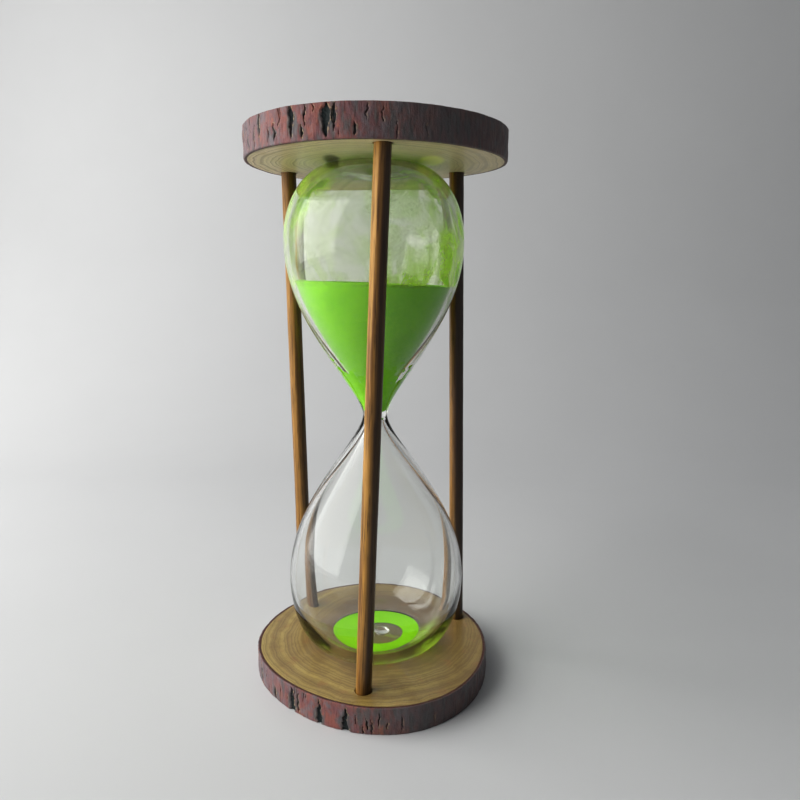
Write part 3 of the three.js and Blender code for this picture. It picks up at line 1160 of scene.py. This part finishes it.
@dataclass
class FillSeal:
    """The melted knob that closes the filling hole."""

    stem: float = 2.3 * MM
    head_height: float = 1.6 * MM
    bevel: float = 0.2 * MM
    uneven: float = 0.25 * MM
    around: int = 48

    def build(self, finish: BlownGlass) -> None:
        """A stem with a domed, slightly uneven head, in profile from the bottom to the top."""
        low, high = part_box("fill_seal")
        head = (high[0] - low[0]) / 2
        axis = middle_of("fill_seal")
        stem = self.stem
        seat = high[2] - self.head_height
        turn = np.linspace(0, math.pi / 2, 20, endpoint=False)
        dome = np.column_stack([head * np.cos(turn), seat + (high[2] - seat) * np.sin(turn)])
        bevel = self.bevel
        shaft = [[stem * 0.6, low[2]], [stem, low[2] + bevel], [stem, seat - bevel]]
        shaft.append([head * 0.95, seat - bevel / 2])
        profile = np.vstack([shaft, dome])
        angle = full_turn(self.around)
        wave = self.uneven * Relief(5, 6, 5).at(angle / TURN, np.linspace(0, 1, len(profile))[:, None])
        points = round_axis(axis, profile[:, :1] * (1 + wave / head), angle, profile[:, 1:])
        knob = Surface(points, first_pole=np.array([*axis, low[2]]), last_pole=np.array([*axis, high[2]]))
        place_piece(knob.build("fill_seal_knob", 60.0), finish.material(), "seal_glass", "fill_seal")


@dataclass
class Sand:
    """Sand in the upper bulb, the ring of sand in the lower one, and dust on both walls."""

    glass: Glass
    finish: DyedSand
    dust: SandDust
    gap: float = 0.05 * MM
    loose_from: float = 44 * MM
    loose_over: float = 24 * MM
    tilt: float = 0.042
    heap: float = 0.6 * MM
    dish: float = 1.2 * MM
    top_grain: float = 0.22 * MM
    ring_crown: float = 0.1 * MM
    ring_grain: float = 0.06 * MM
    film_reach: float = 12 * MM
    film_depth: float = 0.06 * MM
    film_thickness: float = 0.04 * MM
    around: int = 128

    def build(self) -> None:
        """Makes the two bodies of sand and the two films of dust."""
        for name, surface, node in (
            ("upper_sand_fill", self.upper_surface(), "upper_sand"),
            ("lower_sand_ring", self.lower_surface(), "lower_sand"),
        ):
            place_piece(surface.build(name, 40.0), self.finish.material(), "sand", node)
        powder = self.dust.material()
        place_piece(self.dust_surface().build("upper_sand_dust", 80.0), powder, "sand")
        place_piece(self.lower_dust_surface().build("lower_sand_dust", 80.0), powder, "sand")

    def level(self, x: np.ndarray) -> np.ndarray:
        """The height of the sand's edge: the CAD's level, a little higher to the left."""
        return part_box("upper_sand")[1][2] + self.heap - self.tilt * x

    def upper_surface(self) -> Surface:
        """Up the bulb's inner wall from the funnel to the level, then across the top to its middle.

        The sand clings to the wall low down and stands a hair off it near the level, with
        patches of both in between.
        """
        glass = self.glass
        angle = full_turn(self.around)
        low = glass.waist_height + glass.orifice_half
        level = self.level(0.85 * (glass.upper.widest - glass.wall) * np.cos(angle))
        climb = np.linspace(0, 1, 90)[:, None] ** 1.15
        height = low + climb * (level - low)
        drop = np.clip((height - low) / (glass.funnel_drop - glass.orifice_half), 0, 1)
        funnel = glass.orifice + (glass.funnel - glass.orifice) * np.sqrt(1 - (1 - drop) ** 2)
        wall = np.where(drop < 1, funnel, glass.upper_inner_radius(height, angle))
        loose = ease((height - level + self.loose_from) / self.loose_over)
        patches = 0.8 * Relief(51, 44, 30).at(angle / TURN, climb)
        wall = wall + self.gap * (1 - 2 * loose + patches)
        inward = np.linspace(1, 0, 40)[1:-1, None]
        across = wall[-1:] * inward
        grain = self.top_grain * Relief(31, 60, 26).at(angle / TURN, inward) * np.sin(math.pi * inward)
        top = self.level(across * np.cos(angle)) + grain - self.dish * (1 - inward**2) ** 2
        points = round_axis(glass.axis, np.vstack([wall, across]), angle, np.vstack([height, top]))
        first = np.array([*glass.axis, low])
        last = np.array([*glass.axis, float(top[-1].mean())])
        return Surface(points, first_pole=first, last_pole=last)

    def lower_surface(self) -> Surface:
        """A ring in the trough: the wall's own shape below, a gently crowned top above."""
        glass = self.glass
        curve = glass.standing(glass.lower, True, glass.hole, 400)
        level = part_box("lower_sand")[1][2] - CLEARANCE
        lowest = int(np.argmin(curve[:, 1]))
        first = int(np.argmax(curve[:, 1] < level))
        last = lowest + int(np.argmax(curve[lowest:, 1] > level))
        below = curve[first:last]
        below = below[np.linspace(0, len(below) - 1, 44).astype(int)] + [0, self.gap]
        share = np.linspace(1, 0, 30)[1:-1]
        inner, outer = below[0], below[-1]
        crown = level + self.ring_crown * np.sin(math.pi * share)
        profile = np.vstack([below, np.column_stack([inner[0] + (outer[0] - inner[0]) * share, crown])])
        angle = full_turn(self.around * 2)
        turn = angle / TURN
        raised = np.concatenate([np.zeros(len(below)), np.sin(math.pi * share)])[:, None]
        place = np.concatenate([np.zeros(len(below)), share])[:, None]
        grain = Relief(41, 22, 4).at(turn, place) + 0.6 * Relief(42, 130, 14).at(turn, place)
        heights = profile[:, 1:] + raised * self.ring_grain * grain
        points = round_axis(glass.axis, profile[:, :1], angle, heights)
        return Surface(glass.drifted(points), closed_rows=True)

    def dust_surface(self) -> Surface:
        """A thin film in the skin of the upper bulb's inner wall, from above the waist to the top.

        The cover is thick just over the sand and grows from left to right. It is thickest on the
        bulb's two sides and where its flat end meets the slice. Heights over the sand's level are
        counted in millimetres.
        """
        glass = self.glass
        curve = glass.standing(glass.upper, True, 0.4 * MM, 160)
        curve = curve[curve[:, 1] > glass.waist_height + self.film_reach]
        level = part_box("upper_sand")[1][2]
        points = self.film(curve, 1)
        over = (points[..., 2] - level) / MM
        away = points[..., :2] - glass.axis
        side = away[..., 0] / glass.upper.widest
        reach = np.linalg.norm(away, axis=-1)
        edge = np.abs(away[..., 0]) / reach
        above = ease((over + 1) / 2)
        near = np.exp(-np.clip(over, 0, None) / 3.6) * (0.12 + 0.28 * ease(side + 0.5)) * above
        rim = ease((edge - 0.90) / 0.09) * (0.22 + 0.22 * ease(side)) * (0.5 + 0.5 * above)
        crown = ease((over - 26) / 6) * (0.04 + 0.36 * ease((edge - 0.80) / 0.18))
        ring = bell(reach - glass.upper.inner_rest, MM) * ease((over - 20) / 6) * 0.8
        thick_side = 0.34 * ease((side - 0.6) / 0.3) * ease((26 - over) / 12)
        right = (0.03 + 0.12 * ease(side * 0.9 + 0.35) + thick_side) * above
        return Surface(points, closed_rows=True, values={"dust": right + near + rim + crown + ring})

    def lower_dust_surface(self) -> Surface:
        """A thin film in the skin of the lower bulb's inner wall, round the ring of sand and in it.

        Outside the ring the cover falls off as a bell with the height, is left out at the rear and
        is thicker on the right than on the left. Heights over the ring are counted in millimetres.
        """
        glass = self.glass
        curve = glass.standing(glass.lower, True, glass.hole + 0.8 * MM, 200)
        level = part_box("lower_sand")[1][2] - CLEARANCE
        curve = curve[curve[:, 1] < level + self.film_reach]
        points = self.film(curve, -1)
        over = np.clip((points[..., 2] - level) / MM, 0, None)
        away = points[..., :2] - glass.axis
        reach = np.linalg.norm(away, axis=-1)
        front = ease((0.2 - away[..., 1] / reach) / 0.5)
        edge = away[..., 0] / reach
        outside = ease((reach - glass.lower.inner_rest) / MM)
        low = 0.2 * bell(over, 2.5) * front
        sides = bell(over - 3, 3.5) * ease((np.abs(edge) - 0.5) / 0.3) * (0.05 + 0.12 * ease(edge)) * front
        within = 0.16 * (1 - ease((reach - 9 * MM) / MM))
        cover = (low + sides) * outside * ease((12 - over) / 4) + within
        return Surface(glass.drifted(points), closed_rows=True, values={"dust": cover})

    def film(self, curve: np.ndarray, upwards: int) -> np.ndarray:
        """A closed film round a profile of the inner wall, just under the glass's own skin.

        Args:
            curve: rows of radius and height.
            upwards: 1 where the glass lies above the profile, -1 where it lies below.

        Returns:
            A grid of points, whose rows close on themselves.
        """
        flags = np.ones(len(curve), bool)
        near = self.glass.swept(curve, flags, self.film_depth)
        far = self.glass.swept(curve, flags, self.film_depth + self.film_thickness)
        near[..., 2] += upwards * self.film_depth
        far[..., 2] += upwards * (self.film_depth + self.film_thickness)
        return np.concatenate([near, far[::-1]])


# ---- Studio ----


@dataclass(frozen=True)
class Lamp:
    """A rectangular light: place and size in metres, power in watts, and whether it is mirrored."""

    name: str
    at: tuple[float, float, float]
    size: tuple[float, float]
    power: float
    mirrored: bool = True
    colour: Colour = (1.0, 0.99, 0.97)

    def build(self, aim: tuple[float, float, float]) -> None:
        """Hangs the light, out of the camera's sight, and turns it to the place it is aimed at."""
        data = bpy.data.lights.new(self.name, "AREA")
        data.shape = "RECTANGLE"
        data.size, data.size_y = self.size
        data.energy = self.power
        data.color = self.colour
        lamp = bpy.data.objects.new(self.name, data)
        lamp.location = self.at
        way = Vector(aim) - Vector(self.at)
        lamp.rotation_euler = way.to_track_quat("-Z", "Y").to_euler()
        lamp.visible_camera = False
        lamp.visible_glossy = self.mirrored
        bpy.context.scene.collection.objects.link(lamp)


@dataclass
class Studio:
    """Floor and wall in one sweep, a tall window to the left, a dim room and the camera."""

    axis: np.ndarray
    paper: StudioPaper
    camera_side: float = 9.8 * MM
    camera_distance: float = 262.5 * MM
    camera_height: float = 154 * MM
    camera_pitch: float = 9.6
    camera_lens: float = 30.6
    wall_distance: float = 0.62
    wall_height: float = 1.6
    sweep: float = 0.34
    left: float = 1.5
    right: float = 1.15
    front: float = 1.3
    below_ground: float = 0.05 * MM
    lamps: tuple[Lamp, ...] = (
        Lamp("window_light", (-0.62, -0.10, 0.40), (0.95, 0.85), 2.6),
        Lamp("soft_light", (-0.60, -0.12, 0.42), (0.90, 0.80), 5.3, mirrored=False),
    )
    lamp_aim: tuple[float, float, float] = (0, 0, 0.18)
    bright_way: tuple[float, float, float] = (-0.80, 0.35, 0.48)
    sky_colour: Colour = (0.93, 0.96, 1.0)
    dim_room: tuple[float, float] = (0.02, 0.36)
    seen_room: tuple[float, float] = (0.30, 0.50)

    def build(self) -> None:
        """Makes the sweep, the lights, the sky and the camera."""
        self.backdrop()
        for lamp in self.lamps:
            lamp.build(self.lamp_aim)
        self.sky()
        self.camera()

    def backdrop(self) -> None:
        """A sheet that lies flat, bends up in a quarter circle and stands as a wall."""
        turn = np.linspace(0, math.pi / 2, 24)
        start = self.wall_distance - self.sweep
        bend = np.column_stack([start + self.sweep * np.sin(turn), self.sweep * (1 - np.cos(turn))])
        profile = np.vstack([[-self.front, 0.0], bend, [self.wall_distance, self.wall_height]])
        x = np.linspace(-self.left, self.right, 3)[None, :]
        grids = np.broadcast_arrays(x, profile[:, :1], profile[:, 1:] - self.below_ground)
        points = np.stack(grids, axis=-1)
        sheet = Surface(points, closed_columns=False).build("studio_sweep", 80.0)
        sheet.data.materials.append(self.paper.material())

    def sky(self) -> None:
        """A dim room, brightest to the upper left and rear.

        What the glass and the camera see of it is paler and evener than what lights the surfaces.
        """
        world = bpy.data.worlds.new("soft_room")
        bpy.context.scene.world = world
        s = Shader(world)
        towards = s.vector("DOT_PRODUCT", s.node("ShaderNodeTexCoord").outputs["Generated"], self.bright_way)
        lighting, seen = (self.gradient(s, towards, ends) for ends in (self.dim_room, self.seen_room))
        scattered = s.node("ShaderNodeLightPath").outputs["Is Diffuse Ray"]
        strength = s.node("ShaderNodeMix", {0: scattered, 2: seen, 3: lighting}).outputs[0]
        light = s.node("ShaderNodeBackground", {"Color": (*self.sky_colour, 1.0), "Strength": strength})
        s.node("ShaderNodeOutputWorld", {"Surface": light.outputs[0]})

    @staticmethod
    def gradient(s: Shader, value: Socket, ends: tuple[float, float]) -> Socket:
        """The value from minus one half to one, turned into a strength between the two ends."""
        values = {"Value": value, "From Min": -0.5, "From Max": 1.0, "To Min": ends[0], "To Max": ends[1]}
        return s.node("ShaderNodeMapRange", values).outputs[0]

    def camera(self) -> None:
        """The camera stands in front, a little to the right, and looks slightly down."""
        data = bpy.data.cameras.new("camera")
        data.lens = self.camera_lens
        data.sensor_width = 36.0
        data.clip_start = 0.01
        camera = bpy.data.objects.new("camera", data)
        x, y = self.axis[0] + self.camera_side, self.axis[1] - self.camera_distance
        camera.location = (x, y, self.camera_height)
        camera.rotation_euler = (math.radians(90 - self.camera_pitch), 0, 0)
        bpy.context.scene.collection.objects.link(camera)
        bpy.context.scene.camera = camera


# ---- The whole ----


def slices(axis: np.ndarray) -> list[Slice]:
    """The base and the top slice, with their own wood and cracks."""
    base_grain = EndGrain(
        "base_end_grain",
        (axis[0] + 3 * MM, axis[1] + 5 * MM),
        heart=(0.175, 0.105, 0.036),
        sap=(0.45, 0.33, 0.10),
        late_wood=(0.11, 0.060, 0.020),
        warm=(0.30, 0.125, 0.045),
        ring_share=0.66,
    )
    x, y = axis
    knots_and_light = (
        # Painted pool of green-yellow light, thrown from the sand and the paper onto the underside round the
        # axis.
        KnotAndLightMark(x + 1 * MM, y - 2 * MM, 26 * MM, 32 * MM, (0.80, 0.76, 0.40), 0.6, 0.7),
        KnotAndLightMark(x - 14.3 * MM, y - 10.5 * MM, 3.0 * MM, 8.5 * MM, (0.09, 0.075, 0.018), 0.9, 0.35),
        # A small pale yellow teardrop to the right of the axis.
        KnotAndLightMark(x + 21 * MM, y - 7 * MM, 4.4 * MM, 10 * MM, (0.95, 0.88, 0.26), 0.9, 0.3),
    )
    top_grain = EndGrain(
        "top_end_grain",
        (x - 2 * MM, y + 3 * MM),
        heart=(0.54, 0.44, 0.25),
        sap=(0.75, 0.59, 0.36),
        late_wood=(0.17, 0.095, 0.042),
        warm=(0.46, 0.28, 0.11),
        ring=2.0 * MM,
        ring_share=1.0,
        gloss=0.45,
        coat=0.08,
        knots_and_light=knots_and_light,
        knots_and_light_below=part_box("top_slice")[0][2] + 3 * MM,
    )
    base_cracks = (
        Crack(-172, 0.55, 0.45, 0.05, 0.5),
        Crack(-158, 0.50, 0.52, 0.07, 0.4),
        Crack(-143, 0.25, 0.30, 0.09, 0.4, 0.7),
        Crack(-130, 0.38, 0.60, 0.20, 0.3),
        Crack(-126, 0.45, 0.40, 0.05, 0.3),
        Crack(-114, 0.38, 0.58, 0.14, 0.3),
        Crack(-101, 0.34, 0.58, 0.15, 0.2),
        Crack(-90, 0.30, 0.30, 0.05, 0.3, 0.6),
        Crack(-78, 0.40, 0.36, 0.04, 0.4, 0.5),
        Crack(-64, 0.45, 0.30, 0.03, 0.5, 0.4),
    )
    top_cracks = (
        Crack(-161, 0.50, 0.30, 0.04, 0.5, 0.8),
        Crack(-152, 0.32, 0.26, 0.03, 0.5),
        Crack(-141, 0.66, 0.36, 0.085, 0.6),
        Crack(-131, 0.36, 0.26, 0.05, 0.35),
        Crack(-122, 0.53, 0.45, 0.12, 0.8),
        Crack(-117, 0.26, 0.20, 0.05, 0.35),
        Crack(-106.5, 0.52, 0.47, 0.19, 0.75),
        Crack(-103, 0.60, 0.40, 0.07, 0.6, 0.7),
        Crack(-95, 0.28, 0.20, 0.05, 0.3, 0.8),
        Crack(-90, 0.78, 0.20, 0.025, 0.5, 0.6),
        Crack(-84, 0.66, 0.22, 0.03, 0.5, 0.5),
        Crack(-66, 0.30, 0.20, 0.02, 0.5, 0.4),
    )
    return [
        Slice("base_slice", "base_bark", base_grain, Bark(), axis, 11, base_cracks),
        Slice("top_slice", "top_bark", top_grain, Bark(), axis, 23, top_cracks),
    ]


def main() -> None:
    """Builds the studio and every part of the hourglass."""
    logging.basicConfig(level=logging.INFO, format="%(name)s: %(message)s")
    bpy.context.scene.view_settings.view_transform = "Standard"
    bpy.context.scene.view_settings.look = "Medium High Contrast"
    axis = middle_of("glass_body")
    Studio(axis, StudioPaper()).build()
    for part in slices(axis):
        part.build()
    # Each dowel's side away from the window is darkened with painted shade. The right rear dowel's painted
    # shade is wider and deeper, also standing for the shadow of the bulbs.
    front_stain_and_shade = StainedStick("front_stain_and_shade", light=(0.50, 0.26, 0.055), shade_limits=(1.5 * MM, -0.8 * MM))
    Dowel("front_dowel", front_stain_and_shade, 3).build()
    Dowel("rear_left_dowel", StainedStick("left_stain_and_shade", shade_share=0.7), 4).build()
    deep_shade_stain = StainedStick("right_stain_and_shade", shade_limits=(2.8 * MM, 0.2 * MM), shade_share=0.94)
    Dowel("rear_right_dowel", deep_shade_stain, 5).build()
    glass = Glass(axis)
    glass.build(BlownGlass(GlassKind.CLEAR, (0.97, 0.98, 0.965), (0.95, 0.975, 0.90), 0.0, 0.02 * MM))
    FillSeal().build(BlownGlass(GlassKind.SEAL, (0.90, 0.92, 0.86), (0.90, 0.92, 0.86), 0.25, 0.05 * MM))
    Sand(glass, DyedSand(), SandDust()).build()


if __name__ == "__main__":
    main()
